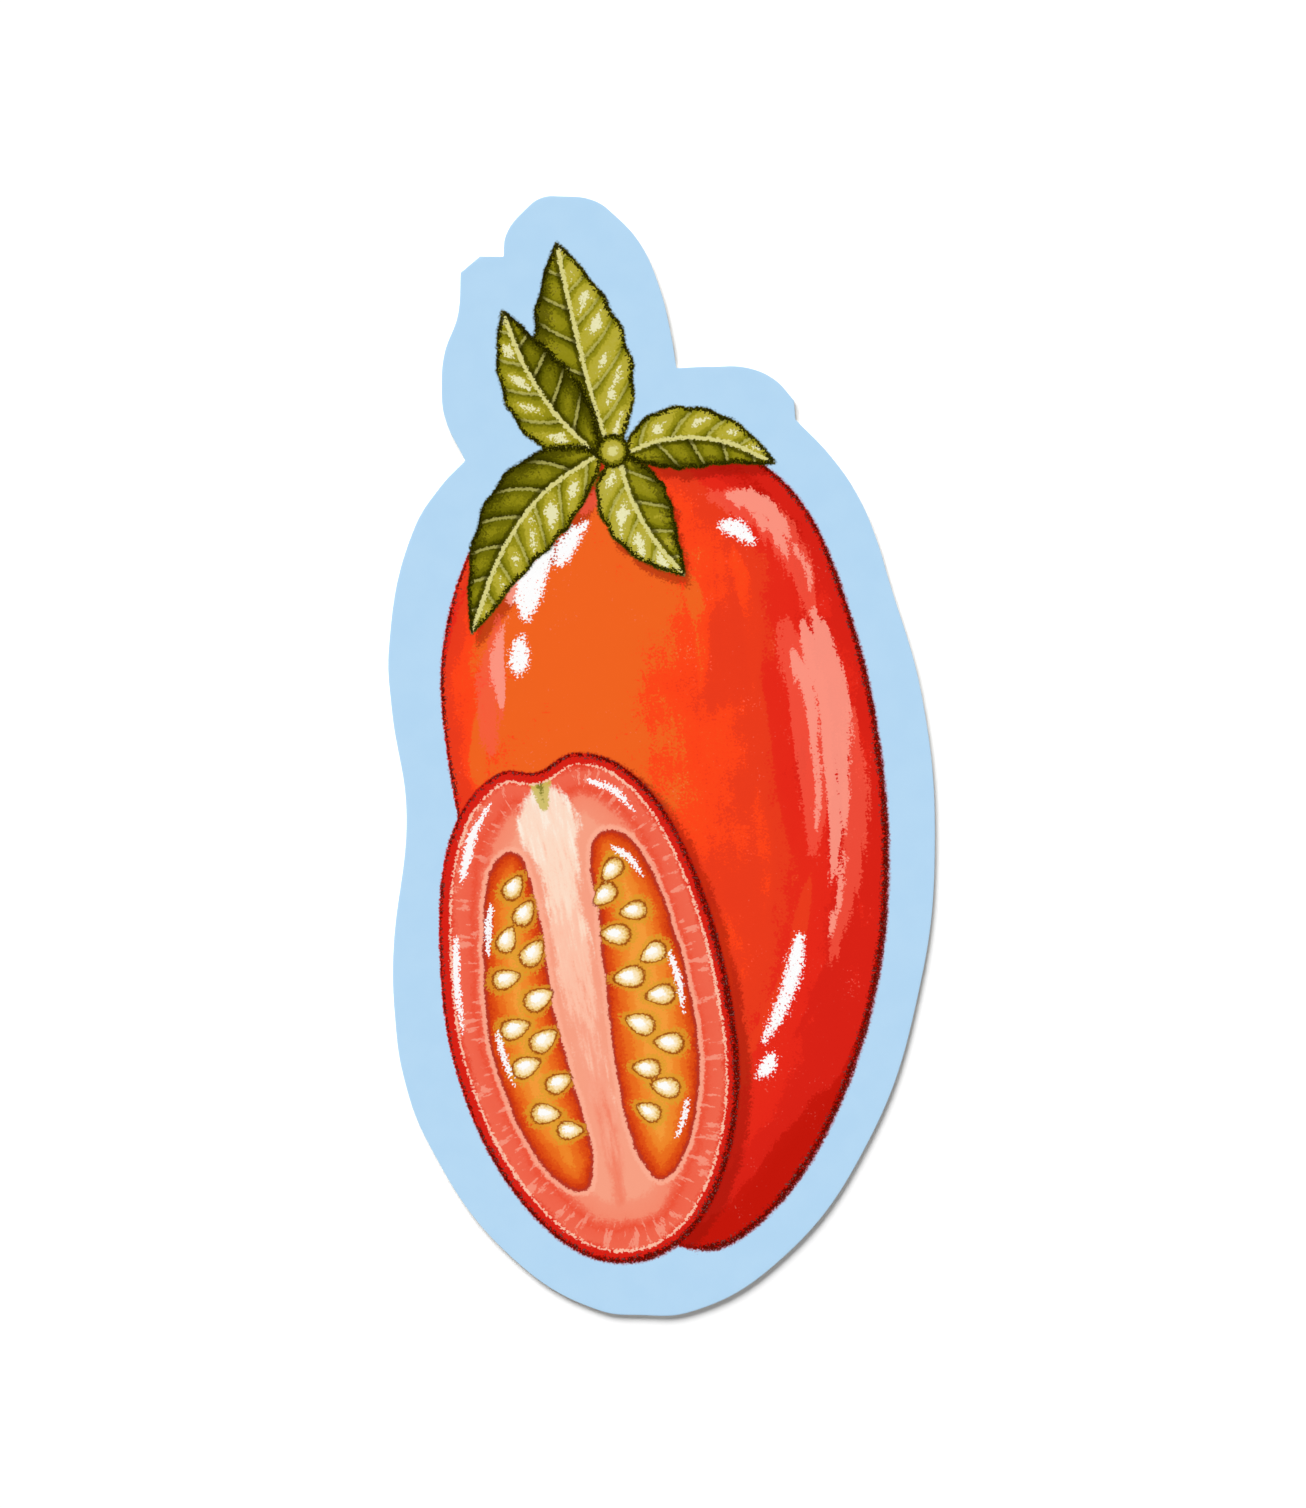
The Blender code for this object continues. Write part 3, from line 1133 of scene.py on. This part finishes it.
# The studio's brightness at heights from the horizon, 0, to overhead, 1
STUDIO = ((0.0, 1.0), (0.12, 1.0), (0.25, 0.18), (0.80, 0.18), (0.95, 0.0))

# The camera, and the middle and height of the picture that it takes at the sticker's face
LENS, SENSOR = 135.0, 36.0
PICTURE_MIDDLE = (-0.60 * MM, 0.11 * MM)
PICTURE_HEIGHT = 102.7 * MM


def grey(level):
    """A colour between black, 0, and white, 1."""
    return (level, level, level, 1.0)


def table():
    """A wide table, which glows a little so that it comes out as white as in the photograph."""
    mesh = bpy.data.meshes.new("table")
    half = TABLE_HALF
    corners = [(-half, -half, 0.0), (half, -half, 0.0), (half, half, 0.0), (-half, half, 0.0)]
    mesh.from_pydata(corners, [], [(0, 1, 2, 3)])
    white = Shader("table_white").finish(
        Base_Color=grey(TABLE_WHITE),
        Roughness=1.0,
        Specular_IOR_Level=0.0,
        Emission_Color=grey(1.0),
        Emission_Strength=TABLE_GLOW,
    )
    mesh.materials.append(white)
    made = bpy.data.objects.new("table", mesh)
    bpy.context.scene.collection.objects.link(made)


def key_light():
    """A large soft lamp at the upper left, so that the edge's shadow falls to the lower right."""
    lamp = bpy.data.lights.new("key", "SUN")
    lamp.energy = KEY_STRENGTH
    lamp.angle = math.radians(KEY_SPREAD)
    made = bpy.data.objects.new("key", lamp)
    made.rotation_mode = "QUATERNION"
    made.rotation_quaternion = Vector(KEY_TRAVEL).to_track_quat("-Z", "Y")
    made.visible_glossy = False
    bpy.context.scene.collection.objects.link(made)


def surroundings():
    """A white studio, brightest round the horizon and dark overhead, where the camera is."""
    world = bpy.data.worlds.new("studio")
    world.use_nodes = True
    tree = world.node_tree
    coordinates = tree.nodes.new("ShaderNodeTexCoord")
    split = tree.nodes.new("ShaderNodeSeparateXYZ")
    ramp = tree.nodes.new("ShaderNodeValToRGB")
    set_stops(ramp.color_ramp, [(height, grey(level)) for height, level in STUDIO])
    tree.links.new(coordinates.outputs["Generated"], split.inputs[0])
    tree.links.new(split.outputs["Z"], ramp.inputs["Fac"])
    tree.links.new(ramp.outputs["Color"], tree.nodes["Background"].inputs["Color"])
    bpy.context.scene.world = world


def camera():
    """Straight above the sticker, as the photograph is taken."""
    data = bpy.data.cameras.new("camera")
    data.lens = LENS
    data.sensor_width = SENSOR
    made = bpy.data.objects.new("camera", data)
    made.location = (*PICTURE_MIDDLE, cad_high.z + PICTURE_HEIGHT * LENS / SENSOR)
    data.clip_start, data.clip_end = 0.01, 10.0
    bpy.context.scene.collection.objects.link(made)
    bpy.context.scene.camera = made


table()
key_light()
surroundings()
camera()
bpy.context.scene.view_settings.view_transform = "Standard"
